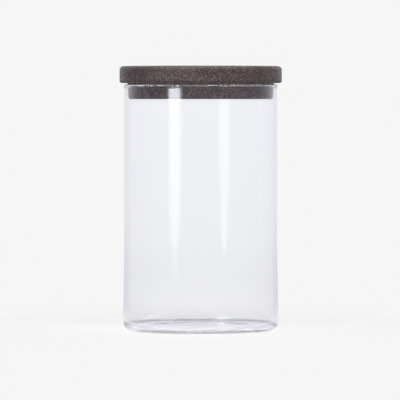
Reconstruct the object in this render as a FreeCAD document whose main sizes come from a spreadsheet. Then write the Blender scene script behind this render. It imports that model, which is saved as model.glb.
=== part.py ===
# Storage jar with a cork lid. The jar is one piece of clear glass: a straight tube whose lip is fire-polished
# into a small round bead, whose wall swells slightly down to its heel, and whose floor is pushed up in the
# middle. The lid is two discs of dark agglomerated cork glued face to face: a wide cap, and a tapered plug
# that wedges in the mouth before the cap meets the lip, so that a narrow gap shows between cap and glass.
# Millimetres, +Z up. The origin is on the jar's axis, in the plane that the foot stands on.

import FreeCAD, Part
import math
import os
import Sketcher

SHEET_NAME = "Sizes"

SIZES = {
    # The glass jar
    "glass_diameter": 100.0,  # outside of the straight wall
    "glass_height": 160.5,  # from the foot to the top of the lip
    "glass_wall": 2.0,
    "lip_swell": 0.3,  # how far the bead of the lip stands out from the wall
    "lip_run": 1.2,  # height over which the wall swells into the bead
    "heel_radius": 5.4,  # outside corner between wall and foot
    "heel_swell": 0.5,  # how far the heel stands out from the wall
    "heel_run": 50.0,  # height over which the wall swells into the heel
    "floor_thickness": 3.0,
    "floor_corner": 3.0,  # inside corner between wall and floor
    "punt_diameter": 56.0,  # the pushed-up middle of the floor
    "punt_rise": 1.6,
    # The cork cap
    "cap_diameter": 106.0,
    "cap_thickness": 11.0,
    "cap_top_round": 2.4,
    "cap_bottom_round": 1.5,
    # The cork plug
    "plug_depth": 10.5,  # from the cap's underside to the plug's end
    "plug_draft": 0.6,  # how much the plug's radius narrows from its top to its end
    "plug_round": 1.4,
    # The fit of the lid in the mouth
    "fit_clearance": 0.2,  # radial, where the plug passes the lip
    "lid_gap": 1.0,  # between the top of the lip and the cap's underside
}


def cell(alias):
    """The expression that reads one size of the sheet."""
    return f"{SHEET_NAME}.{alias}"


def make_sheet(doc):
    """The sheet of driving dimensions, one row for each, with the number in column B under its alias."""
    sheet = doc.addObject("Spreadsheet::Sheet", SHEET_NAME)
    for row, (alias, value) in enumerate(SIZES.items(), start=1):
        sheet.set(f"A{row}", alias)
        sheet.set(f"B{row}", str(value))
        sheet.setAlias(f"B{row}", alias)
    doc.recompute()
    return sheet


def make_body(doc, label):
    """An empty body under the label that names its file."""
    body = doc.addObject("PartDesign::Body", label)
    body.Label = label
    return body


def make_sketch(body, name, plane_role):
    """A sketch on one of the body's own origin planes."""
    plane = next(f for f in body.Origin.OriginFeatures if f.Role == plane_role)
    sketch = body.newObject("Sketcher::SketchObject", name)
    sketch.AttachmentSupport = (plane, [""])
    sketch.MapMode = "FlatFace"
    return sketch


def hold(sketch, name, kind, *where, by):
    """Adds a dimension to a sketch and binds it to an expression of the sheet's sizes."""
    value = sketch.evalExpression(by)
    index = sketch.addConstraint(Sketcher.Constraint(kind, *where, float(value)))
    sketch.renameConstraint(index, name)
    sketch.setExpression(f"Constraints.{name}", by)


class Outline:
    """A closed half section in a sketch, drawn counterclockwise with X as the radius and Y as the height.

    Each stretch goes on from the end of the one before it. A stretch that is smooth leaves it tangentially.
    """

    START, END, CENTRE = range(1, 4)

    def __init__(self, sketch, first_point):
        self.sketch = sketch
        self.first_point = self.point = FreeCAD.Vector(*first_point, 0)
        self.first_ends = {}
        self.last_ends = {}
        self.order = []
        self.smooth = set()

    def keep(self, name, geometry, first, last, smooth):
        """Adds one stretch, with the end that it starts from and the end that it stops at."""
        index = self.sketch.addGeometry(geometry, False)
        self.first_ends[name] = (index, first)
        self.last_ends[name] = (index, last)
        self.order.append(name)
        if smooth:
            self.smooth.add(name)

    def line(self, name, end, smooth=False):
        """A straight stretch to a point."""
        end = FreeCAD.Vector(*end, 0)
        self.keep(name, Part.LineSegment(self.point, end), self.START, self.END, smooth)
        self.point = end

    def arc(self, name, centre, end, left=True, smooth=True):
        """A round stretch about a centre to a point, turning left or right."""
        centre = FreeCAD.Vector(*centre, 0)
        end = FreeCAD.Vector(*end, 0)
        begin, stop = (self.point, end) if left else (end, self.point)
        angles = [math.atan2(p.y - centre.y, p.x - centre.x) for p in (begin, stop)]
        if angles[1] < angles[0]:
            angles[1] += math.tau
        circle = Part.Circle(centre, FreeCAD.Vector(0, 0, 1), (end - centre).Length)
        ends = (self.START, self.END) if left else (self.END, self.START)
        self.keep(name, Part.ArcOfCircle(circle, *angles), *ends, smooth)
        self.point = end

    def close(self):
        """Joins each stretch to the next and the last to the first."""
        for before, after in zip(self.order, self.order[1:] + self.order[:1]):
            kind = "Tangent" if after in self.smooth else "Coincident"
            joint = (*self.last_ends[before], *self.first_ends[after])
            self.sketch.addConstraint(Sketcher.Constraint(kind, *joint))

    def index(self, name):
        return self.first_ends[name][0]

    def first(self, name):
        return self.first_ends[name]

    def last(self, name):
        return self.last_ends[name]

    def centre(self, name):
        return (self.index(name), self.CENTRE)


# The sketch's own axes, and its origin, which is the start of the radius axis
HEIGHT_AXIS, RADIUS_AXIS = range(-2, 0)
ORIGIN = (RADIUS_AXIS, Outline.START)


def swell_radius(swell, run):
    """The radius of two equal arcs that lead a straight wall sideways by swell over a height of run."""
    return (swell**2 + run**2) / (4 * swell)


def crown_radius(width, rise):
    """The radius of the arc over a circle of that width that rises by that much in its middle."""
    return ((width / 2) ** 2 + rise**2) / (2 * rise)


def glass_section(body, sizes):
    """The half section of the jar: foot, heel, wall, lip, inside wall, floor and push-up."""
    outside = sizes.glass_diameter / 2
    inside = outside - sizes.glass_wall
    heel_outside = outside + sizes.heel_swell
    heel_top = sizes.heel_radius + sizes.heel_run
    heel_curve = swell_radius(sizes.heel_swell, sizes.heel_run)
    lip_outside = outside + sizes.lip_swell
    lip_radius = (lip_outside - inside) / 2
    lip_level = sizes.glass_height - lip_radius
    lip_foot = lip_level - sizes.lip_run
    lip_curve = swell_radius(sizes.lip_swell, sizes.lip_run)
    floor = sizes.floor_thickness
    corner = sizes.floor_corner
    punt = sizes.punt_diameter / 2
    rise = sizes.punt_rise
    crown = crown_radius(sizes.punt_diameter, rise)

    sketch = make_sketch(body, "glass_section", "XZ_Plane")
    o = Outline(sketch, (punt, 0))
    o.line("foot", (heel_outside - sizes.heel_radius, 0))
    o.arc("heel", (heel_outside - sizes.heel_radius, sizes.heel_radius), (heel_outside, sizes.heel_radius))
    heel_middle = (outside + sizes.heel_swell / 2, sizes.heel_radius + sizes.heel_run / 2)
    o.arc("heel_swell_out", (heel_outside - heel_curve, sizes.heel_radius), heel_middle)
    o.arc("heel_swell_in", (outside + heel_curve, heel_top), (outside, heel_top), left=False)
    o.line("wall", (outside, lip_foot), smooth=True)
    lip_middle = (outside + sizes.lip_swell / 2, lip_foot + sizes.lip_run / 2)
    o.arc("lip_swell_in", (outside + lip_curve, lip_foot), lip_middle, left=False)
    o.arc("lip_swell_out", (lip_outside - lip_curve, lip_level), (lip_outside, lip_level))
    o.arc("lip", (inside + lip_radius, lip_level), (inside, lip_level))
    o.line("inside_wall", (inside, floor + corner), smooth=True)
    o.arc("inside_corner", (inside - corner, floor + corner), (inside - corner, floor), left=False)
    o.line("floor", (punt, floor), smooth=True)
    o.arc("floor_crown", (0, floor + rise - crown), (0, floor + rise), smooth=False)
    o.line("axis", (0, rise))
    o.arc("punt_crown", (0, rise - crown), (punt, 0), left=False, smooth=False)
    o.close()

    for name in ("foot", "floor"):
        sketch.addConstraint(Sketcher.Constraint("Horizontal", o.index(name)))
    for name in ("wall", "inside_wall"):
        sketch.addConstraint(Sketcher.Constraint("Vertical", o.index(name)))
    sketch.addConstraint(Sketcher.Constraint("PointOnObject", *o.first("foot"), RADIUS_AXIS))
    on_axis = (o.first("axis"), o.last("axis"), o.centre("floor_crown"), o.centre("punt_crown"))
    for point in on_axis:
        sketch.addConstraint(Sketcher.Constraint("PointOnObject", *point, HEIGHT_AXIS))
    for name in ("heel", "lip"):
        upright_end = o.last(name) if name == "heel" else o.first(name)
        sketch.addConstraint(Sketcher.Constraint("Horizontal", *o.centre(name), *upright_end))
    for name in ("heel", "lip"):
        pair = (o.index(f"{name}_swell_in"), o.index(f"{name}_swell_out"))
        sketch.addConstraint(Sketcher.Constraint("Equal", *pair))

    wall_foot, wall_top = o.first("wall"), o.last("wall")
    half_lip = f"({cell('glass_wall')} + {cell('lip_swell')}) / 2"
    half_punt = f"{cell('punt_diameter')} / 2"
    hold(sketch, "outside", "DistanceX", *ORIGIN, *wall_foot, by=f"{cell('glass_diameter')} / 2")
    hold(sketch, "wall_thickness", "DistanceX", *o.first("inside_wall"), *wall_top, by=cell("glass_wall"))
    hold(sketch, "heel_radius", "Radius", o.index("heel"), by=cell("heel_radius"))
    hold(sketch, "heel_swell", "DistanceX", *wall_foot, *o.last("heel"), by=cell("heel_swell"))
    hold(sketch, "heel_run", "DistanceY", *o.last("heel"), *wall_foot, by=cell("heel_run"))
    hold(sketch, "lip_swell", "DistanceX", *wall_top, *o.first("lip"), by=cell("lip_swell"))
    hold(sketch, "lip_run", "DistanceY", *wall_top, *o.first("lip"), by=cell("lip_run"))
    lip_height = f"{cell('glass_height')} - {half_lip}"
    hold(sketch, "lip_level", "DistanceY", *ORIGIN, *o.centre("lip"), by=lip_height)
    hold(sketch, "floor_level", "DistanceY", *ORIGIN, *o.first("floor"), by=cell("floor_thickness"))
    hold(sketch, "corner_radius", "Radius", o.index("inside_corner"), by=cell("floor_corner"))
    hold(sketch, "floor_crown_edge", "DistanceX", *ORIGIN, *o.first("floor_crown"), by=half_punt)
    hold(sketch, "punt_edge", "DistanceX", *ORIGIN, *o.first("foot"), by=half_punt)
    hold(sketch, "floor_rise", "DistanceY", *o.first("floor_crown"), *o.first("axis"), by=cell("punt_rise"))
    hold(sketch, "punt_rise", "DistanceY", *ORIGIN, *o.last("axis"), by=cell("punt_rise"))
    return sketch


def revolve(body, name, sketch):
    """A full turn of a half section about the body's upright axis."""
    feature = body.newObject("PartDesign::Revolution", name)
    feature.Profile = sketch
    feature.ReferenceAxis = (sketch, ["V_Axis"])
    feature.Angle = 360
    return feature


def round_edges(doc, body, name, base, level, radius):
    """Rounds the round edges of the last feature that lie at one height of the body."""
    doc.recompute()
    edges = []
    for number, edge in enumerate(base.Shape.Edges, start=1):
        if not isinstance(edge.Curve, Part.Circle):
            continue
        if math.isclose(edge.Curve.Center.z, level, abs_tol=edge.Tolerance):
            edges.append(f"Edge{number}")
    feature = body.newObject("PartDesign::Fillet", name)
    feature.Base = (base, edges)
    feature.setExpression("Radius", cell(radius))
    return feature


def glass_jar(doc, sizes):
    """The jar, standing on its foot at the origin."""
    body = make_body(doc, "glass_jar")
    revolve(body, "jar_form", glass_section(body, sizes))
    return body


def seat_on_lip(body):
    """Places a piece of the lid with its joint plane at the cap's underside, over the lip."""
    body.setExpression("Placement.Base.z", f"{cell('glass_height')} + {cell('lid_gap')}")


def cork_cap(doc, sizes):
    """The wide upper disc of the lid, with both its edges rounded."""
    body = make_body(doc, "cork_cap")
    sketch = make_sketch(body, "cap_outline", "XY_Plane")
    circle = Part.Circle(FreeCAD.Vector(), FreeCAD.Vector(0, 0, 1), sizes.cap_diameter / 2)
    rim = sketch.addGeometry(circle, False)
    sketch.addConstraint(Sketcher.Constraint("Coincident", rim, Outline.CENTRE, *ORIGIN))
    hold(sketch, "diameter", "Diameter", rim, by=cell("cap_diameter"))
    disc = body.newObject("PartDesign::Pad", "cap_disc")
    disc.Profile = sketch
    disc.setExpression("Length", cell("cap_thickness"))
    top_round = round_edges(doc, body, "cap_top_edge", disc, sizes.cap_thickness, "cap_top_round")
    round_edges(doc, body, "cap_bottom_edge", top_round, 0, "cap_bottom_round")
    seat_on_lip(body)
    return body


def cork_plug(doc, sizes):
    """The tapered lower disc of the lid, glued to the cap's underside and wedged in the mouth."""
    mouth = f"{cell('glass_diameter')} / 2 - {cell('glass_wall')} - {cell('fit_clearance')}"
    lip_bead = f"({cell('glass_wall')} + {cell('lip_swell')}) / 2"
    slope = f"{cell('plug_draft')} / {cell('plug_depth')}"
    top_radius_by = f"{mouth} + ({cell('lid_gap')} + {lip_bead}) * {slope}"

    body = make_body(doc, "cork_plug")
    sketch = make_sketch(body, "plug_section", "XZ_Plane")
    top_radius = float(sketch.evalExpression(top_radius_by))
    end_radius = top_radius - sizes.plug_draft
    o = Outline(sketch, (0, -sizes.plug_depth))
    o.line("end", (end_radius, -sizes.plug_depth))
    o.line("side", (top_radius, 0))
    o.line("joint", (0, 0))
    o.line("axis", (0, -sizes.plug_depth))
    o.close()
    for name in ("end", "joint"):
        sketch.addConstraint(Sketcher.Constraint("Horizontal", o.index(name)))
    sketch.addConstraint(Sketcher.Constraint("Vertical", o.index("axis")))
    sketch.addConstraint(Sketcher.Constraint("Coincident", *o.last("joint"), *ORIGIN))
    hold(sketch, "top_radius", "DistanceX", *ORIGIN, *o.first("joint"), by=top_radius_by)
    hold(sketch, "draft", "DistanceX", *o.first("side"), *o.last("side"), by=cell("plug_draft"))
    hold(sketch, "depth", "DistanceY", *o.first("side"), *o.last("side"), by=cell("plug_depth"))
    form = revolve(body, "plug_form", sketch)
    round_edges(doc, body, "plug_end_edge", form, -sizes.plug_depth, "plug_round")
    seat_on_lip(body)
    return body


def check(doc, bodies):
    """Stops if anything in the document failed or a piece isn't one sound solid."""
    for item in doc.Objects:
        if {"Invalid", "Error"} & set(item.State):
            raise RuntimeError(f"{item.Label} failed: {item.State}")
        if item.isDerivedFrom("Sketcher::SketchObject") and not item.FullyConstrained:
            raise RuntimeError(f"{item.Label} isn't fully constrained")
    for body in bodies:
        shape = body.Shape
        if shape.isNull() or not shape.isValid() or len(shape.Solids) != 1:
            raise RuntimeError(f"{body.Label} isn't one valid solid")


def main():
    doc = FreeCAD.newDocument("storage_jar")
    sizes = make_sheet(doc)
    bodies = [glass_jar(doc, sizes), cork_cap(doc, sizes), cork_plug(doc, sizes)]
    doc.recompute()
    check(doc, bodies)
    os.makedirs("parts", exist_ok=True)
    for body in bodies:
        body.Shape.exportStep(f"parts/{body.Label}.step")
        box = body.Shape.optimalBoundingBox(False)
        print(f"{body.Label}: {box.XLength:.2f} x {box.YLength:.2f} x {box.ZLength:.2f} mm,", end=" ")
        print(f"from z {box.ZMin:.2f}, {body.Shape.Volume / 1000:.2f} cm3")


main()
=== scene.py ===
"""The looks of a glass storage jar with a cork lid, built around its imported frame, and its studio.

Everything is in metres, in the frame's own place: +Z up, the origin under the middle of the jar's foot.
"""

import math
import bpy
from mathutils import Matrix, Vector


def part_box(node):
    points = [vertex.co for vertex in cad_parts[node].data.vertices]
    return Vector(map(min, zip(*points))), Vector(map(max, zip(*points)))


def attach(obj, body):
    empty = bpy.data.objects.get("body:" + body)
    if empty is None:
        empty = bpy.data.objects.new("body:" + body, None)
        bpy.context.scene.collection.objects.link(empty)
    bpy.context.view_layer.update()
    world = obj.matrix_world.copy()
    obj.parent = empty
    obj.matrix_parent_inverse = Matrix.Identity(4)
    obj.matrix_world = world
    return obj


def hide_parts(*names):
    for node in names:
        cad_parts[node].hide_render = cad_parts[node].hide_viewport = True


bl_info = {
    "name": "Glass Storage Jar",
    "version": (1, 0, 0),
    "blender": (4, 5, 0),
    "location": "View3D > Sidebar > Storage Jar",
    "description": "Builds a clear glass jar with a dark cork lid, and a pale studio around it",
    "category": "Object",
}

from collections import namedtuple

import bpy
from bpy.props import FloatProperty, FloatVectorProperty, IntProperty, PointerProperty
from mathutils import Vector

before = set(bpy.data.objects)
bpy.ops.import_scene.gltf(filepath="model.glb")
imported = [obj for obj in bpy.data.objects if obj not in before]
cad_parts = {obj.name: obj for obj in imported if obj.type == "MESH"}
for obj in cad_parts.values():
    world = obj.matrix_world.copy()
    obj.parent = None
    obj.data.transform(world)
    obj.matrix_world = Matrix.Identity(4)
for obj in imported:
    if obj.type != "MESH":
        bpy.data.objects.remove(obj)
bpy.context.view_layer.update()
GLASS_LOW, GLASS_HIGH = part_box("glass_jar")
CAP_LOW, CAP_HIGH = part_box("cork_cap")
PLUG_LOW, PLUG_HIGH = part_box("cork_plug")

# The glass's mesh: the rows of its straight runs, the short row at each of their ends, and its steps
# round bends.
ROW_HEIGHT = 0.004
END_ROW = 0.0003
BEND_STEPS = 24
ROUND_STEPS = 20
LIP_STEPS = 10

# The cork's mesh: how often its rings can halve their points, how many cells of its rim make one cell of
# its flat faces, and its steps round the edges.
RING_HALVINGS = 5
FACE_CELLS = 2
LOW_ROUND_STEPS = 6
TOP_ROUND_STEPS = 8

# The cork's grain: the crumbs within a granule, and where its browns and flecks lie on a scale of 0 to 1.
CRUMBS_PER_GRANULE = 2.3
CRUMB_SHARE = 0.35
BROWN_SHARES = (0.10, 0.42, 0.64, 0.88)
FLECK_SHARES = ((0.92, 0.0), (0.95, 0.8))

# How far a groove's painted shade and its slope reach into a granule, as shares of the granule's size.
GROOVE_SHADE_SHARE = 0.15
GROOVE_SLOPE_SHARE = 0.25

# Painted shade on the floor: how much of its light is left, from the jar's axis out to the shade's reach,
# as the glass shows it, and as it shows beside the glass.
PAINTED_SHADE_SHARES = (
    (0.0, 0.82), (0.40, 0.80), (0.55, 0.80), (0.60, 0.48), (0.66, 0.50), (0.74, 0.70), (0.86, 1.0),
)
PAINTED_CONTACT_SHARES = ((0.45, 1.0), (0.465, 0.70), (0.495, 0.75), (0.515, 0.97), (0.60, 1.0))
FLOOR_FADE_SHARE = 0.3  # of the floor's radius, where the floor begins to fade
FLOOR_DROP = 0.0002  # how far the floor lies under the foot, to keep their faces apart

# What the glass mirrors at each height of the surround; the front is dark where the plug's wall mirrors it.
SURROUND_LOW = -0.3
SURROUND_HIGH = 0.2
SURROUND_SIDES = 60
FRONT_COLOURS = (
    (0.0, (0.17, 0.18, 0.20)), (0.20, (0.28, 0.29, 0.32)), (0.38, (0.46, 0.475, 0.57)),
    (0.54, (0.575, 0.59, 0.72)), (0.89, (0.70, 0.72, 0.88)), (0.91, (0.16, 0.18, 0.28)),
)
BACK_COLOURS = ((0.34, (0.72, 0.715, 0.79)), (0.62, (0.80, 0.80, 0.84)), (0.90, (0.79, 0.785, 0.83)))

# How bright the surround's upper band is, from its left to its right.
BAND_SHARES = ((0.20, 0.85), (0.28, 0.40), (0.58, 0.40), (0.61, 1.0), (0.90, 1.0), (0.92, 0.40))

# Where the window lamp brightens: around the plug's end in the outer gloss, and deeper in the glass at these
# shares of the jar's height.
PLUG_GLOW_START = -0.002
PLUG_GLOW_FULL = 0.001
INNER_GLOW_SHARES = (2.0, 3.0)

# Depths of a light path: above the first it has bounced or crossed a face, and above the second it has
# crossed more than the two faces that light mirrored by the front wall crosses.
ANY_DEPTH = 0.5
FRONT_WALL_DEPTH = 2.5

LIGHT_BOUNCES = 512
GLASS_BOUNCES = 256
SENSOR_WIDTH = 36.0  # millimetres

# Each lamp's turn right of the camera and rise above the lid in degrees, its distance, size and level.
# A lamp casts no shadow, shows in the glass and lights everything, unless it says otherwise.
CORK_PIECES = ("lid_cap", "lid_plug")
Softbox = namedtuple(
    "Softbox", "name turn rise distance width height level shadow gloss pieces", defaults=(False, True, ())
)
SOFTBOXES = (
    Softbox("top_softbox", 0, 78, 1.2, 0.3, 0.3, 44.0),
    Softbox("front_softbox", 0, 50, 1.2, 0.8, 0.5, 2.2, shadow=True),
    Softbox("low_softbox", 0, -60, 1.2, 0.8, 0.6, 5.0, gloss=False),
    Softbox("left_softbox", -60, 35, 1.3, 0.5, 0.3, 2.6),
    Softbox("right_softbox", 60, 35, 1.3, 0.5, 0.3, 7.5),
    Softbox("left_rim_softbox", -145, 6.5, 1.2, 0.5, 0.2, 7.0, pieces=CORK_PIECES),
    Softbox("right_rim_softbox", 145, 6.5, 1.2, 0.5, 0.2, 7.0, pieces=CORK_PIECES),
)


class GlassSettings(bpy.types.PropertyGroup):
    """Sizes and finish of the jar's glass."""

    heel_radius: FloatProperty(
        name="Widest radius", description="Radius of the heel, where the jar is widest",
        default=GLASS_HIGH.x, unit="LENGTH",
    )
    height: FloatProperty(
        name="Height", description="From the foot to the top of the lip",
        default=GLASS_HIGH.z, unit="LENGTH",
    )
    wall: FloatProperty(
        name="Wall", description="Thickness of the wall",
        default=0.0020, unit="LENGTH",
    )
    lip_swell: FloatProperty(
        name="Lip swell", description="How far the lip's bead stands out from the wall",
        default=0.0003, unit="LENGTH",
    )
    lip_run: FloatProperty(
        name="Lip run", description="Height over which the wall swells into the bead",
        default=0.0012, unit="LENGTH",
    )
    heel_round: FloatProperty(
        name="Heel round", description="Outside corner radius between wall and foot",
        default=0.0054, unit="LENGTH",
    )
    heel_swell: FloatProperty(
        name="Heel swell", description="How far the heel stands out from the wall",
        default=0.0005, unit="LENGTH",
    )
    heel_run: FloatProperty(
        name="Heel run", description="Height over which the wall swells into the heel",
        default=0.050, unit="LENGTH",
    )
    floor_thickness: FloatProperty(
        name="Floor", description="Thickness of the jar's floor",
        default=0.0030, unit="LENGTH",
    )
    floor_corner: FloatProperty(
        name="Floor corner", description="Inside corner radius between wall and floor",
        default=0.0030, unit="LENGTH",
    )
    punt_radius: FloatProperty(
        name="Push-up radius", description="Radius of the floor's pushed-up middle",
        default=0.0280, unit="LENGTH",
    )
    punt_rise: FloatProperty(
        name="Push-up rise", description="How far the floor's middle is pushed up",
        default=0.0016, unit="LENGTH",
    )
    segments: IntProperty(
        name="Segments", description="Faces around the jar",
        default=320, min=64,
    )
    ior: FloatProperty(
        name="IOR", description="Index of refraction of the glass",
        default=1.50,
    )
    colour: FloatVectorProperty(
        name="Colour", description="Colour of the light through each face of the glass",
        default=(0.990, 0.993, 1.0), subtype="COLOR", size=3,
    )
    tint: FloatVectorProperty(
        name="Tint", description="Colour that thick glass takes on",
        default=(0.15, 0.20, 0.60), subtype="COLOR", size=3,
    )
    tint_density: FloatProperty(
        name="Tint density", description="Absorption for each metre of glass",
        default=0.4,
    )


class CorkSettings(bpy.types.PropertyGroup):
    """Sizes and finish of the lid's two cork discs."""

    cap_radius: FloatProperty(
        name="Cap radius", description="Radius of the cap",
        default=CAP_HIGH.x, unit="LENGTH",
    )
    cap_top_round: FloatProperty(
        name="Cap top round", description="Radius of the cap's upper edge",
        default=0.0024, unit="LENGTH",
    )
    cap_low_round: FloatProperty(
        name="Cap low round", description="Radius of the cap's lower edge",
        default=0.0015, unit="LENGTH",
    )
    plug_radius: FloatProperty(
        name="Plug radius", description="Radius of the plug at the joint with the cap",
        default=PLUG_HIGH.x, unit="LENGTH",
    )
    plug_draft: FloatProperty(
        name="Plug draft", description="How much the plug's radius narrows to its end",
        default=0.0006, unit="LENGTH",
    )
    plug_round: FloatProperty(
        name="Plug end round", description="Radius of the plug's lower edge",
        default=0.0014, unit="LENGTH",
    )
    cell: FloatProperty(
        name="Mesh cell", description="Face size of the cork's rim",
        default=0.0004, unit="LENGTH",
    )
    granule: FloatProperty(
        name="Granule", description="Size of the ground cork's granules",
        default=0.0008, unit="LENGTH",
    )
    groove_depth: FloatProperty(
        name="Groove depth", description="Depth of the grooves between granules",
        default=0.00012, unit="LENGTH",
    )
    # Painted shade: the grooves' colour is darkened to this share, standing in for the shade in them.
    groove_shade_share: FloatProperty(
        name="Groove share", description="Share of the granules' colour that is left in the grooves",
        default=0.6, subtype="FACTOR",
    )
    roughness_low: FloatProperty(
        name="Least roughness", description="Roughness of the smoothest crumbs",
        default=0.60, subtype="FACTOR",
    )
    roughness_high: FloatProperty(
        name="Most roughness", description="Roughness of the roughest crumbs",
        default=0.76, subtype="FACTOR",
    )
    dark: FloatVectorProperty(
        name="Dark granules", description="Colour of the darkest granules",
        default=(0.020, 0.012, 0.011), subtype="COLOR", size=3,
    )
    middle: FloatVectorProperty(
        name="Granules", description="Colour of most of the cork",
        default=(0.058, 0.038, 0.037), subtype="COLOR", size=3,
    )
    light: FloatVectorProperty(
        name="Light flecks", description="Colour of the palest flecks",
        default=(0.170, 0.128, 0.120), subtype="COLOR", size=3,
    )


class StageSettings(bpy.types.PropertyGroup):
    """The studio: backdrop, floor, surround, window lamp and camera."""

    backdrop: FloatProperty(
        name="Backdrop", description="Level of the pale surroundings",
        default=0.9216,
    )
    fill: FloatProperty(
        name="Fill", description="Level of the soft light from all sides",
        default=0.35,
    )
    floor_radius: FloatProperty(
        name="Floor radius", description="Where the floor has faded into the backdrop",
        default=0.30, unit="LENGTH",
    )
    floor_tone: FloatProperty(
        name="Floor", description="How pale the floor is",
        default=0.69, subtype="FACTOR",
    )
    floor_glow_share: FloatProperty(
        name="Floor glow", description="Share of the floor's light that shadows leave alone",
        default=0.60, subtype="FACTOR",
    )
    # Painted shade: how far the shade painted on the floor around the foot reaches.
    painted_shade_reach: FloatProperty(
        name="Shade reach", description="How far the shade around the foot reaches from the jar's axis",
        default=0.095, unit="LENGTH",
    )
    # Painted colour: the tint of the floor's painted shade and light where the glass shows the floor.
    painted_shade_tint: FloatVectorProperty(
        name="Shade tint", description="Colour of the floor's light through the glass",
        default=(0.93, 0.92, 1.0), subtype="COLOR", size=3,
    )
    surround_radius: FloatProperty(
        name="Surround radius", description="From the jar's axis to the grey surround",
        default=3.0, unit="LENGTH",
    )
    band_low: FloatProperty(
        name="Band low", description="Height above which the surround has its bright band",
        default=0.45, unit="LENGTH",
    )
    band_level: FloatProperty(
        name="Band level", description="Brightness of that band, which glints in the lip",
        default=14.0,
    )
    window_turn: FloatProperty(
        name="Window turn", description="Turn of the window lamp, right of the camera",
        default=math.radians(-38.8), subtype="ANGLE",
    )
    window_distance: FloatProperty(
        name="Window distance", description="From the jar's axis to the window lamp",
        default=1.0, unit="LENGTH",
    )
    window_width: FloatProperty(
        name="Window width", description="Width of the window lamp",
        default=0.45, unit="LENGTH",
    )
    window_tip: FloatProperty(
        name="Window tip", description="Height of the point at the lamp's foot",
        default=-0.0045, unit="LENGTH",
    )
    window_foot: FloatProperty(
        name="Window foot", description="Height at which the lamp's card has its full width",
        default=0.039, unit="LENGTH",
    )
    window_top: FloatProperty(
        name="Window top", description="Height of the lamp's upper edge",
        default=1.8, unit="LENGTH",
    )
    window_front_tip: FloatProperty(
        name="Window front tip", description="Height of the lowest glow that the front wall mirrors",
        default=0.019, unit="LENGTH",
    )
    window_front_foot: FloatProperty(
        name="Window front foot", description="Height of the full width that the front wall mirrors",
        default=0.052, unit="LENGTH",
    )
    window_front_share: FloatProperty(
        name="Window front share", description="Share of the width left at the front wall's lowest glow",
        default=0.4, subtype="FACTOR",
    )
    window_back_foot: FloatProperty(
        name="Window back foot", description="Height of the full width that the back wall mirrors",
        default=0.097, unit="LENGTH",
    )
    window_back_share: FloatProperty(
        name="Window back share", description="Share of the width left at the back wall's lowest glow",
        default=0.25, subtype="FACTOR",
    )
    window_core_share: FloatProperty(
        name="Window core share", description="Share of the lamp's width that has its full level",
        default=0.35, subtype="FACTOR",
    )
    window_low: FloatProperty(
        name="Window low level", description="Brightness of the lamp's foot in the outer gloss",
        default=1.4,
    )
    window_middle: FloatProperty(
        name="Window middle level", description="Brightness in the outer gloss just under the plug",
        default=3.0,
    )
    window_level: FloatProperty(
        name="Window level", description="Brightness that the outer gloss gains over the plug",
        default=14.0,
    )
    window_inner_level: FloatProperty(
        name="Window inner level", description="Brightness of the lamp's lower part deeper in the glass",
        default=2.1,
    )
    window_inner_high: FloatProperty(
        name="Window inner high", description="Brightness of the lamp's upper part deeper in the glass",
        default=9.0,
    )
    window_off: FloatProperty(
        name="Window off level", description="Brightness beside the lamp's glow, close to the surround's",
        default=0.70,
    )
    window_tint: FloatVectorProperty(
        name="Window tint", description="Colour of the window lamp",
        default=(0.90, 0.93, 1.0), subtype="COLOR", size=3,
    )
    camera_distance: FloatProperty(
        name="Camera distance", description="From the lens to the jar's axis",
        default=2.60, unit="LENGTH",
    )
    camera_height: FloatProperty(
        name="Camera height", description="Height of the lens, just below the lip",
        default=0.1510, unit="LENGTH",
    )
    aim_height: FloatProperty(
        name="Aim height", description="Height on the jar's axis that the camera looks at",
        default=0.0851, unit="LENGTH",
    )
    side_step: FloatProperty(
        name="Side step", description="How far the camera stands left of the axis",
        default=0.00045, unit="LENGTH",
    )
    view_width: FloatProperty(
        name="View width", description="Width of the picture at the jar's axis",
        default=0.2614, unit="LENGTH",
    )


class StorageJarSettings(bpy.types.PropertyGroup):
    """All the sizes and colours of the jar and its studio."""

    glass: PointerProperty(type=GlassSettings)
    cork: PointerProperty(type=CorkSettings)
    stage: PointerProperty(type=StageSettings)


def add_node(tree, kind, inputs=None, **options):
    """Adds a node, sets its options, and links or fills the inputs that are given by name or place."""
    made = tree.nodes.new(kind)
    for name, value in options.items():
        setattr(made, name, value)
    for name, value in (inputs or {}).items():
        if isinstance(value, bpy.types.NodeSocket):
            tree.links.new(value, made.inputs[name])
        else:
            made.inputs[name].default_value = value
    return made


def calculate(tree, operation, first, second=0.0, clamped=False):
    """The result of a sum or a comparison of one or two values."""
    inputs = {0: first, 1: second}
    return add_node(tree, "ShaderNodeMath", inputs, operation=operation, use_clamp=clamped).outputs["Value"]


def spread(tree, value, start, end, low=0.0, high=1.0, smooth=False):
    """A value carried over from one range to another, and held at that range's ends."""
    inputs = {"Value": value, "From Min": start, "From Max": end, "To Min": low, "To Max": high}
    interpolation = "SMOOTHSTEP" if smooth else "LINEAR"
    return add_node(tree, "ShaderNodeMapRange", inputs, interpolation_type=interpolation).outputs["Result"]


def scaled(tree, vector, factor):
    """A vector or colour times a number."""
    inputs = {0: vector, "Scale": factor}
    return add_node(tree, "ShaderNodeVectorMath", inputs, operation="SCALE").outputs["Vector"]


def mixed(tree, factor, first, second, data_type="FLOAT", blend_type="MIX"):
    """A mix of two values or colours."""
    inputs = {"Factor": factor, "A": first, "B": second}
    made = add_node(tree, "ShaderNodeMix", inputs, data_type=data_type, blend_type=blend_type)
    return made.outputs["Result"]


def mixed_shaders(tree, factor, first, second):
    """A mix of two shaders."""
    return add_node(tree, "ShaderNodeMixShader", {0: factor, 1: first, 2: second}).outputs["Shader"]


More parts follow.
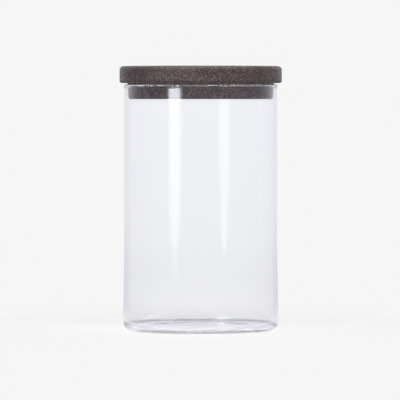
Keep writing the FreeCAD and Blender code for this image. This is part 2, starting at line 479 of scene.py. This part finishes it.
def ramp(tree, factor, stops):
    """A colour ramp over a factor, from (place, colour) stops."""
    made = add_node(tree, "ShaderNodeValToRGB", {"Fac": factor})
    elements = made.color_ramp.elements
    while len(elements) < len(stops):
        elements.new(0)
    for element, (place, colour) in zip(elements, stops):
        element.position = place
        element.color = (*colour, 1)
    return made.outputs["Color"]


def grey(value):
    """A colour with the same value in its three channels."""
    return (value, value, value)


def grey_ramp(tree, factor, shares):
    """A ramp of greys over a factor, from (place, share) pairs."""
    return ramp(tree, factor, [(place, grey(share)) for place, share in shares])


def object_place(tree):
    """Where a point of the surface lies, in its object's own metres."""
    return add_node(tree, "ShaderNodeTexCoord").outputs["Object"]


def new_material(name):
    """An empty node material, its tree and its output node."""
    material = bpy.data.materials.new(name)
    material.use_nodes = True
    material.node_tree.nodes.clear()
    output = add_node(material.node_tree, "ShaderNodeOutputMaterial")
    return material, material.node_tree, output


def arc(centre, radius, start, end, steps):
    """Points along an arc, from one angle in degrees to another, both ends included."""
    angles = (math.radians(start + (end - start) * i / steps) for i in range(steps + 1))
    return [(centre[0] + radius * math.cos(a), centre[1] + radius * math.sin(a)) for a in angles]


def between(start, end, share):
    """The point at a share of the way from one point to another."""
    return tuple(a + (b - a) * share for a, b in zip(start, end))


def straight(start, end, longest):
    """Points on a straight line, spaced no wider than given, without its two ends."""
    steps = max(1, math.ceil(math.dist(start, end) / longest))
    return [between(start, end, i / steps) for i in range(1, steps)]


def flat_run(start, end):
    """Points on a straight line without its ends, with a short row at each that keeps its shading flat."""
    share = END_ROW / math.dist(start, end)
    first, last = between(start, end, share), between(start, end, 1 - share)
    return [first, *straight(first, last, ROW_HEIGHT), last]


def ease(start, end, steps):
    """Points along a smooth S that leaves one point and meets another upright, without its start."""
    (r0, z0), (r1, z1) = start, end
    points = []
    for i in range(1, steps + 1):
        share = i / steps
        points.append((r0 + (r1 - r0) * (3 * share**2 - 2 * share**3), z0 + (z1 - z0) * share))
    return points


def dome(radius, level, rise, steps):
    """Points over a shallow dome, from its middle on the axis out to its edge."""
    sphere = (radius**2 + rise**2) / (2 * rise)
    half_angle = math.degrees(math.asin(radius / sphere))
    return arc((0, level + rise - sphere), sphere, 90, 90 - half_angle, steps)


def ring_count(radius, widest, segments, thinned):
    """How many points a ring has: all of them, or half as many each time that the radius halves."""
    count = segments
    while thinned and count % 2 == 0 and 2 * radius / widest < count / segments:
        count //= 2
    return count


def ring_faces(low, low_count, high, high_count):
    """The faces between two rings, one of which may have half as many points as the other."""
    faces = []
    for i in range(min(low_count, high_count)):
        lows = [i, i + 1] if low_count <= high_count else [2 * i, 2 * i + 1, 2 * i + 2]
        highs = [i, i + 1] if high_count <= low_count else [2 * i, 2 * i + 1, 2 * i + 2]
        faces.append([low + k % low_count for k in lows] + [high + k % high_count for k in reversed(highs)])
    return faces


def lathe(name, profile, segments, thinned=False):
    """A closed mesh turned about Z from (radius, height) points that start and end on the axis."""
    inner = profile[1:-1]
    widest = max(radius for radius, _ in inner)
    counts = [ring_count(radius, widest, segments, thinned) for radius, _ in inner]
    points = []
    starts = []
    for (radius, height), count in zip(inner, counts):
        starts.append(len(points))
        angles = [math.tau * i / count for i in range(count)]
        points += [(radius * math.cos(angle), radius * math.sin(angle), height) for angle in angles]
    first_pole, last_pole = len(points), len(points) + 1
    points += [(0, 0, profile[0][1]), (0, 0, profile[-1][1])]
    faces = [(first_pole, (i + 1) % counts[0], i) for i in range(counts[0])]
    for row in range(len(inner) - 1):
        faces += ring_faces(starts[row], counts[row], starts[row + 1], counts[row + 1])
    faces += [(last_pole, starts[-1] + i, starts[-1] + (i + 1) % counts[-1]) for i in range(counts[-1])]
    mesh = bpy.data.meshes.new(name)
    mesh.from_pydata(points, [], faces)
    mesh.validate()
    mesh.shade_smooth()
    piece = bpy.data.objects.new(name, mesh)
    bpy.context.scene.collection.objects.link(piece)
    return piece


def dress(piece, material, body, node):
    """Gives a finished piece its material, and its place in the frame."""
    piece.data.materials.clear()
    piece.data.materials.append(material)
    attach(piece, body)
    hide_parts(node)


def glass_profile(glass):
    """The jar's half section: out along the underside, up the outside, over the lip, down to the floor."""
    heel = glass.heel_radius
    outside = heel - glass.heel_swell
    inside = outside - glass.wall
    lip_out = outside + glass.lip_swell
    lip_round = (lip_out - inside) / 2
    lip_level = glass.height - lip_round
    corner = glass.floor_corner
    floor = glass.floor_thickness
    points = dome(glass.punt_radius, 0, glass.punt_rise, BEND_STEPS)
    foot_edge = heel - glass.heel_round
    points += flat_run(points[-1], (foot_edge, 0))
    points += arc((foot_edge, glass.heel_round), glass.heel_round, -90, 0, BEND_STEPS)
    wall_foot = (outside, glass.heel_round + glass.heel_run)
    points += ease(points[-1], wall_foot, BEND_STEPS)
    wall_top = (outside, lip_level - glass.lip_run)
    points += flat_run(wall_foot, wall_top)
    points += [wall_top] + ease(wall_top, (lip_out, lip_level), LIP_STEPS)
    points += arc((inside + lip_round, lip_level), lip_round, 0, 180, ROUND_STEPS)[1:]
    points += flat_run(points[-1], (inside, floor + corner))
    points += arc((inside - corner, floor + corner), corner, 0, -90, ROUND_STEPS)
    inner_dome = dome(glass.punt_radius, floor, glass.punt_rise, BEND_STEPS)[::-1]
    points += flat_run(points[-1], inner_dome[0])
    return points + inner_dome


def glass_material(glass):
    """Clear, faintly cool glass that darkens with the depth of glass that the light crosses."""
    material, tree, output = new_material("clear_glass")
    surface = add_node(
        tree,
        "ShaderNodeBsdfPrincipled",
        {
            "Base Color": (*glass.colour, 1),
            "Roughness": 0.0,
            "IOR": glass.ior,
            "Transmission Weight": 1.0,
        },
    )
    depth = add_node(
        tree, "ShaderNodeVolumeAbsorption", {"Color": (*glass.tint, 1), "Density": glass.tint_density}
    )
    tree.links.new(surface.outputs["BSDF"], output.inputs["Surface"])
    tree.links.new(depth.outputs["Volume"], output.inputs["Volume"])
    return material


class STORAGEJAR_OT_glass(bpy.types.Operator):
    """Turn the jar's glass from its half section"""

    bl_idname = "storagejar.glass"
    bl_label = "Glass Jar"

    def execute(self, context):
        glass = context.scene.storage_jar.glass
        piece = lathe("jar_glass", glass_profile(glass), glass.segments)
        dress(piece, glass_material(glass), "jar", "glass_jar")
        return {"FINISHED"}


def cells(tree, place, size, feature="F1"):
    """A pattern of packed cells of about the given size."""
    inputs = {"Vector": place, "Scale": 1 / size}
    return add_node(tree, "ShaderNodeTexVoronoi", inputs, feature=feature).outputs


def cork_material(cork):
    """Dark agglomerated cork: packed granules of differing browns, pale flecks, painted shade in grooves."""
    material, tree, output = new_material("dark_cork")
    place = object_place(tree)
    granules = cells(tree, place, cork.granule)
    crumbs = cells(tree, place, cork.granule / CRUMBS_PER_GRANULE)
    tones = add_node(tree, "ShaderNodeSeparateColor", {"Color": granules["Color"]}).outputs
    fine = add_node(tree, "ShaderNodeSeparateColor", {"Color": crumbs["Color"]}).outputs["Red"]
    grain = mixed(tree, CRUMB_SHARE, tones["Red"], fine)
    browns = (cork.dark, cork.middle, cork.middle, cork.light)
    colour = ramp(tree, grain, list(zip(BROWN_SHARES, browns)))
    fleck = grey_ramp(tree, tones["Green"], FLECK_SHARES)
    colour = mixed(tree, fleck, colour, (*cork.light, 1), "RGBA")
    # Painted shade: the colour darkens along the granules' borders, where the grooves are sunk.
    border = cells(tree, place, cork.granule, "DISTANCE_TO_EDGE")["Distance"]
    groove_shade = grey_ramp(tree, border, [(0.0, cork.groove_shade_share), (GROOVE_SHADE_SHARE, 1.0)])
    colour = mixed(tree, 1.0, colour, groove_shade, "RGBA", "MULTIPLY")
    roughness = spread(tree, fine, 0.0, 1.0, cork.roughness_low, cork.roughness_high)
    surface = add_node(tree, "ShaderNodeBsdfPrincipled", {"Base Color": colour, "Roughness": roughness})
    tree.links.new(surface.outputs["BSDF"], output.inputs["Surface"])
    return material


def disc_profile(low, high, low_radius, high_radius, low_round, high_round, cell):
    """A round-edged disc's half section, from the middle of its underside to the middle of its top."""
    face_cell = FACE_CELLS * cell
    points = [(0, low)]
    points += straight((0, low), (low_radius - low_round, low), face_cell)
    points += arc((low_radius - low_round, low + low_round), low_round, -90, 0, LOW_ROUND_STEPS)
    if high_round:
        points += straight(points[-1], (high_radius, high - high_round), cell)
        points += arc((high_radius - high_round, high - high_round), high_round, 0, 90, TOP_ROUND_STEPS)
    else:
        points += straight(points[-1], (high_radius, high), cell) + [(high_radius, high)]
    points += straight(points[-1], (0, high), face_cell)
    return points + [(0, high)]


def groove_nodes(cork):
    """A node group that sinks the skin along the borders of the granules."""
    group = bpy.data.node_groups.new("cork_grooves", "GeometryNodeTree")
    group.interface.new_socket("Geometry", in_out="INPUT", socket_type="NodeSocketGeometry")
    group.interface.new_socket("Geometry", in_out="OUTPUT", socket_type="NodeSocketGeometry")
    skin = add_node(group, "NodeGroupInput").outputs[0]
    place = add_node(group, "GeometryNodeInputPosition").outputs[0]
    border = cells(group, place, cork.granule, "DISTANCE_TO_EDGE")["Distance"]
    depth = spread(group, border, 0.0, GROOVE_SLOPE_SHARE, -cork.groove_depth, 0.0)
    normal = add_node(group, "GeometryNodeInputNormal").outputs[0]
    offset = scaled(group, normal, depth)
    sunk = add_node(group, "GeometryNodeSetPosition", {"Geometry": skin, "Offset": offset})
    add_node(group, "NodeGroupOutput", {0: sunk.outputs["Geometry"]})
    return group


def turn_cork(name, profile, radius, cork):
    """Turns a cork disc, and sinks the grooves between its granules into its skin."""
    block = 2**RING_HALVINGS
    segments = block * round(math.tau * radius / cork.cell / block)
    piece = lathe(name, profile, segments, thinned=True)
    grooves = piece.modifiers.new("grooves", "NODES")
    grooves.node_group = groove_nodes(cork)
    grooved = piece.evaluated_get(bpy.context.evaluated_depsgraph_get())
    smooth = piece.data
    piece.data = bpy.data.meshes.new_from_object(grooved)
    piece.data.name = name
    piece.modifiers.clear()
    bpy.data.meshes.remove(smooth)
    return piece


class STORAGEJAR_OT_cap(bpy.types.Operator):
    """Turn the lid's wide upper disc of cork"""

    bl_idname = "storagejar.cap"
    bl_label = "Cork Cap"

    def execute(self, context):
        cork = context.scene.storage_jar.cork
        radius = cork.cap_radius
        profile = disc_profile(
            CAP_LOW.z, CAP_HIGH.z, radius, radius, cork.cap_low_round, cork.cap_top_round, cork.cell
        )
        piece = turn_cork("lid_cap", profile, radius, cork)
        dress(piece, cork_material(cork), "lid", "cork_cap")
        return {"FINISHED"}


class STORAGEJAR_OT_plug(bpy.types.Operator):
    """Turn the lid's tapered lower disc of cork"""

    bl_idname = "storagejar.plug"
    bl_label = "Cork Plug"

    def execute(self, context):
        cork = context.scene.storage_jar.cork
        end_radius = cork.plug_radius - cork.plug_draft
        profile = disc_profile(
            PLUG_LOW.z, PLUG_HIGH.z, end_radius, cork.plug_radius, cork.plug_round, 0, cork.cell
        )
        piece = turn_cork("lid_plug", profile, cork.plug_radius, cork)
        dress(piece, cork_material(cork), "lid", "cork_plug")
        return {"FINISHED"}


def backdrop_world(stage):
    """A pale backdrop behind the object and in its glass, over a softer fill of light from all sides."""
    world = bpy.data.worlds.new("pale_backdrop")
    world.use_nodes = True
    tree = world.node_tree
    tree.nodes.clear()
    rays = add_node(tree, "ShaderNodeLightPath").outputs
    seen = calculate(tree, "MAXIMUM", rays["Is Camera Ray"], rays["Is Glossy Ray"])
    seen = calculate(tree, "MAXIMUM", seen, rays["Is Transmission Ray"])
    fill = add_node(tree, "ShaderNodeBackground", {"Color": (*grey(stage.fill), 1)})
    backdrop = add_node(tree, "ShaderNodeBackground", {"Color": (*grey(stage.backdrop), 1)})
    both = mixed_shaders(tree, seen, fill.outputs["Background"], backdrop.outputs["Background"])
    add_node(tree, "ShaderNodeOutputWorld", {"Surface": both})
    return world


def painted_floor_shade(tree, distance, stage):
    """Painted shade near the heel: the floor light left beside the glass, and as the glass shows it."""
    reached = spread(tree, distance, 0.0, stage.painted_shade_reach)
    tint = Vector(stage.painted_shade_tint)
    # Painted shade: a wide tinted ring where the glass shows the floor, and a narrow contact ring beside it.
    painted_ring = ramp(tree, reached, [(place, tint * left) for place, left in PAINTED_SHADE_SHARES])
    painted_contact = grey_ramp(tree, reached, PAINTED_CONTACT_SHARES)
    straight_view = add_node(tree, "ShaderNodeLightPath").outputs["Is Camera Ray"]
    return mixed(tree, straight_view, painted_ring, painted_contact, "RGBA")


def floor_material(stage):
    """A pale matt floor that keeps the jar's shadow faintly, and fades into the backdrop away from it."""
    material, tree, output = new_material("pale_floor")
    place = object_place(tree)
    distance = add_node(tree, "ShaderNodeVectorMath", {0: place}, operation="LENGTH").outputs["Value"]
    fade = spread(tree, distance, stage.floor_radius * FLOOR_FADE_SHARE, stage.floor_radius, smooth=True)
    # Painted shade: the floor's colour and its glow are both darkened by the rings painted near the foot.
    left = painted_floor_shade(tree, distance, stage)
    matt = add_node(tree, "ShaderNodeBsdfDiffuse", {"Color": scaled(tree, left, stage.floor_tone)})
    glow = add_node(tree, "ShaderNodeEmission", {"Color": (*grey(stage.backdrop), 1), "Strength": left})
    lit = mixed_shaders(tree, stage.floor_glow_share, matt.outputs["BSDF"], glow.outputs["Emission"])
    gone = add_node(tree, "ShaderNodeBsdfTransparent").outputs["BSDF"]
    tree.links.new(mixed_shaders(tree, fade, lit, gone), output.inputs["Surface"])
    return material


def add_floor(stage):
    """The square of floor under the jar, which has faded out at its edges."""
    half = stage.floor_radius
    corners = [(-half, -half, 0), (half, -half, 0), (half, half, 0), (-half, half, 0)]
    mesh = bpy.data.meshes.new("floor")
    mesh.from_pydata(corners, [], [(0, 1, 2, 3)])
    mesh.materials.append(floor_material(stage))
    floor = bpy.data.objects.new("floor", mesh)
    floor.location.z = GLASS_LOW.z - FLOOR_DROP
    bpy.context.scene.collection.objects.link(floor)


def reflected_only(tree, output, glow):
    """Lets a glow be seen in reflections, and clears it from every straight view."""
    bounces = add_node(tree, "ShaderNodeLightPath").outputs["Glossy Depth"]
    reflected = calculate(tree, "GREATER_THAN", bounces, ANY_DEPTH)
    clear = add_node(tree, "ShaderNodeBsdfTransparent").outputs["BSDF"]
    shown = mixed_shaders(tree, reflected, clear, glow.outputs["Emission"])
    tree.links.new(shown, output.inputs["Surface"])


def add_card(name, points, faces, material):
    """A studio card that shows in reflections only, and casts no shadow."""
    mesh = bpy.data.meshes.new(name)
    mesh.from_pydata(points, [], faces)
    mesh.materials.append(material)
    card = bpy.data.objects.new(name, mesh)
    card.visible_camera = False
    card.visible_diffuse = False
    card.visible_shadow = False
    card.visible_volume_scatter = False
    bpy.context.scene.collection.objects.link(card)


def band_glint(tree, axes, stage):
    """Where the surround's upper band shows, in the outer gloss of the glass alone, and its colour."""
    rays = add_node(tree, "ShaderNodeLightPath").outputs
    inside = calculate(tree, "GREATER_THAN", rays["Transmission Depth"], ANY_DEPTH)
    outer = calculate(tree, "SUBTRACT", rays["Is Singular Ray"], inside)
    high = calculate(tree, "GREATER_THAN", axes["Z"], stage.band_low)
    shown = calculate(tree, "MULTIPLY", outer, high, clamped=True)
    across = spread(tree, axes["X"], -stage.surround_radius, stage.surround_radius)
    return shown, scaled(tree, grey_ramp(tree, across, BAND_SHARES), stage.band_level)


def surround_material(stage):
    """Studio grey: darker towards the ground, paler towards the back, with a bright band high in front."""
    material, tree, output = new_material("grey_surround")
    axes = add_node(tree, "ShaderNodeSeparateXYZ", {0: object_place(tree)}).outputs
    height = spread(tree, axes["Z"], SURROUND_LOW, SURROUND_HIGH)
    shown, glint = band_glint(tree, axes, stage)
    front = mixed(tree, shown, ramp(tree, height, FRONT_COLOURS), glint, "RGBA")
    behind = spread(tree, axes["Y"], 0.0, stage.surround_radius, smooth=True)
    colour = mixed(tree, behind, front, ramp(tree, height, BACK_COLOURS), "RGBA")
    glow = add_node(tree, "ShaderNodeEmission", {"Color": colour})
    reflected_only(tree, output, glow)
    return material


def add_surround(stage):
    """A ring of grey card around the jar and its lamps."""
    radius = stage.surround_radius
    points = []
    for i in range(SURROUND_SIDES + 1):
        turn = math.tau * i / SURROUND_SIDES
        x, y = radius * math.sin(turn), -radius * math.cos(turn)
        points += [(x, y, -radius), (x, y, radius)]
    faces = [(2 * i, 2 * i + 2, 2 * i + 3, 2 * i + 1) for i in range(SURROUND_SIDES)]
    add_card("surround", points, faces, surround_material(stage))


def narrowed_edge(tree, height, half, tip, foot, share):
    """Half of a lamp's width, narrowed from its foot down to a share at its tip, and nothing below."""
    edge = spread(tree, height, tip, foot, half * share, half)
    above = calculate(tree, "GREATER_THAN", height, tip)
    return calculate(tree, "MULTIPLY", edge, above)


def window_edge(tree, height, depth, stage):
    """Half the lamp's width at each height, as the front wall and the back wall of the jar mirror it."""
    half = stage.window_width / 2
    front = narrowed_edge(
        tree, height, half, stage.window_front_tip, stage.window_front_foot, stage.window_front_share
    )
    back = narrowed_edge(
        tree, height, half, stage.window_tip, stage.window_back_foot, stage.window_back_share
    )
    far = calculate(tree, "GREATER_THAN", depth, FRONT_WALL_DEPTH)
    return mixed(tree, far, front, back)


def window_brightness(tree, height, depth, stage):
    """The lamp's level at each height: a jump at the plug in the outer gloss, a rise higher up inside."""
    fading = spread(tree, height, 0.0, PLUG_LOW.z, stage.window_low, stage.window_middle)
    glow_start, glow_full = PLUG_LOW.z + PLUG_GLOW_START, PLUG_LOW.z + PLUG_GLOW_FULL
    plug_glow = spread(tree, height, glow_start, glow_full, 0.0, stage.window_level, smooth=True)
    outer = calculate(tree, "ADD", fading, plug_glow)
    rise_start, rise_end = (share * GLASS_HIGH.z for share in INNER_GLOW_SHARES)
    deeper = spread(tree, height, rise_start, rise_end, stage.window_inner_level, stage.window_inner_high)
    inside = calculate(tree, "GREATER_THAN", depth, ANY_DEPTH)
    return mixed(tree, inside, outer, deeper)


def window_material(stage):
    """The glow of the tall window lamp, full in its core and soft towards its sides."""
    material, tree, output = new_material("window_glow")
    place = object_place(tree)
    height = add_node(tree, "ShaderNodeSeparateXYZ", {0: place}).outputs["Z"]
    depth = add_node(tree, "ShaderNodeLightPath").outputs["Transmission Depth"]
    turn = stage.window_turn
    sideways = {0: place, 1: (math.cos(turn), math.sin(turn), 0)}
    across = add_node(tree, "ShaderNodeVectorMath", sideways, operation="DOT_PRODUCT").outputs["Value"]
    off_middle = calculate(tree, "ABSOLUTE", across)
    edge = window_edge(tree, height, depth, stage)
    core = calculate(tree, "MULTIPLY", edge, stage.window_core_share)
    soft = spread(tree, off_middle, core, edge, 1.0, 0.0, smooth=True)
    level = mixed(tree, soft, stage.window_off, window_brightness(tree, height, depth, stage))
    glow = add_node(tree, "ShaderNodeEmission", {"Color": (*stage.window_tint, 1), "Strength": level})
    reflected_only(tree, output, glow)
    return material


def add_window(stage):
    """A tall lamp with a pointed foot, front left of the jar, which draws the streaks in the glass."""
    turn = stage.window_turn
    middle = Vector((math.sin(turn), -math.cos(turn), 0)) * stage.window_distance
    across = Vector((math.cos(turn), math.sin(turn), 0)) * stage.window_width / 2
    up = Vector((0, 0, 1))
    points = [
        middle + up * stage.window_tip,
        middle + across + up * stage.window_foot,
        middle + across + up * stage.window_top,
        middle - across + up * stage.window_top,
        middle - across + up * stage.window_foot,
    ]
    add_card("window_lamp", points, [(0, 1, 2, 3, 4)], window_material(stage))


def add_softbox(box):
    """A lamp of even brightness that faces the lid."""
    aim = Vector((0, 0, CAP_LOW.z))
    turn, rise = math.radians(box.turn), math.radians(box.rise)
    outward = Vector((math.sin(turn) * math.cos(rise), -math.cos(turn) * math.cos(rise), math.sin(rise)))
    lamp = bpy.data.lights.new(box.name, "AREA")
    lamp.shape = "RECTANGLE"
    lamp.size = box.width
    lamp.size_y = box.height
    lamp.energy = box.level * math.pi * box.width * box.height
    lamp.use_shadow = box.shadow
    softbox = bpy.data.objects.new(box.name, lamp)
    softbox.location = aim + outward * box.distance
    softbox.rotation_mode = "QUATERNION"
    softbox.rotation_quaternion = (-outward).to_track_quat("-Z", "Y")
    softbox.visible_camera = False
    softbox.visible_glossy = box.gloss
    softbox.visible_transmission = box.gloss
    bpy.context.scene.collection.objects.link(softbox)
    if box.pieces:
        lit = bpy.data.collections.new(box.name + "_pieces")
        for name in box.pieces:
            lit.objects.link(bpy.data.objects[name])
        softbox.light_linking.receiver_collection = lit


def add_camera(stage):
    """A long lens just below the lip's height, tipped down to the middle of the jar."""
    lens = bpy.data.cameras.new("camera")
    lens.sensor_width = SENSOR_WIDTH
    place = Vector((-stage.side_step, -stage.camera_distance, stage.camera_height))
    aim = Vector((-stage.side_step, 0, stage.aim_height))
    lens.lens = SENSOR_WIDTH * (aim - place).length / stage.view_width
    camera = bpy.data.objects.new("camera", lens)
    camera.location = place
    camera.rotation_mode = "QUATERNION"
    camera.rotation_quaternion = (aim - place).to_track_quat("-Z", "Y")
    bpy.context.scene.collection.objects.link(camera)
    bpy.context.scene.camera = camera


class STORAGEJAR_OT_stage(bpy.types.Operator):
    """Set up the pale surround, the floor, the lamps and the camera"""

    bl_idname = "storagejar.stage"
    bl_label = "Studio"

    def execute(self, context):
        scene = context.scene
        stage = scene.storage_jar.stage
        scene.view_settings.view_transform = "Standard"
        scene.cycles.max_bounces = LIGHT_BOUNCES
        scene.cycles.glossy_bounces = GLASS_BOUNCES
        scene.cycles.transmission_bounces = GLASS_BOUNCES
        scene.world = backdrop_world(stage)
        add_floor(stage)
        add_surround(stage)
        add_window(stage)
        for box in SOFTBOXES:
            add_softbox(box)
        add_camera(stage)
        return {"FINISHED"}


OPERATORS = (STORAGEJAR_OT_glass, STORAGEJAR_OT_cap, STORAGEJAR_OT_plug, STORAGEJAR_OT_stage)


class STORAGEJAR_PT_panel(bpy.types.Panel):
    """The jar's pieces, their sizes and their colours"""

    bl_label = "Storage Jar"
    bl_idname = "STORAGEJAR_PT_panel"
    bl_space_type = "VIEW_3D"
    bl_region_type = "UI"
    bl_category = "Storage Jar"

    def draw(self, context):
        for operator in OPERATORS:
            self.layout.operator(operator.bl_idname)
        settings = context.scene.storage_jar
        for group in (settings.glass, settings.cork, settings.stage):
            box = self.layout.box()
            for name in group.bl_rna.properties.keys():
                if name not in ("rna_type", "name"):
                    box.prop(group, name)


CLASSES = (
    GlassSettings,
    CorkSettings,
    StageSettings,
    StorageJarSettings,
    *OPERATORS,
    STORAGEJAR_PT_panel,
)


def register():
    """Registers the classes, and gives each scene its settings."""
    for cls in CLASSES:
        bpy.utils.register_class(cls)
    bpy.types.Scene.storage_jar = PointerProperty(type=StorageJarSettings)


def unregister():
    """Takes the settings and the classes away again."""
    del bpy.types.Scene.storage_jar
    for cls in reversed(CLASSES):
        bpy.utils.unregister_class(cls)


def main():
    """Builds the jar and its studio."""
    register()
    bpy.ops.storagejar.glass()
    bpy.ops.storagejar.cap()
    bpy.ops.storagejar.plug()
    bpy.ops.storagejar.stage()


if __name__ == "__main__":
    main()
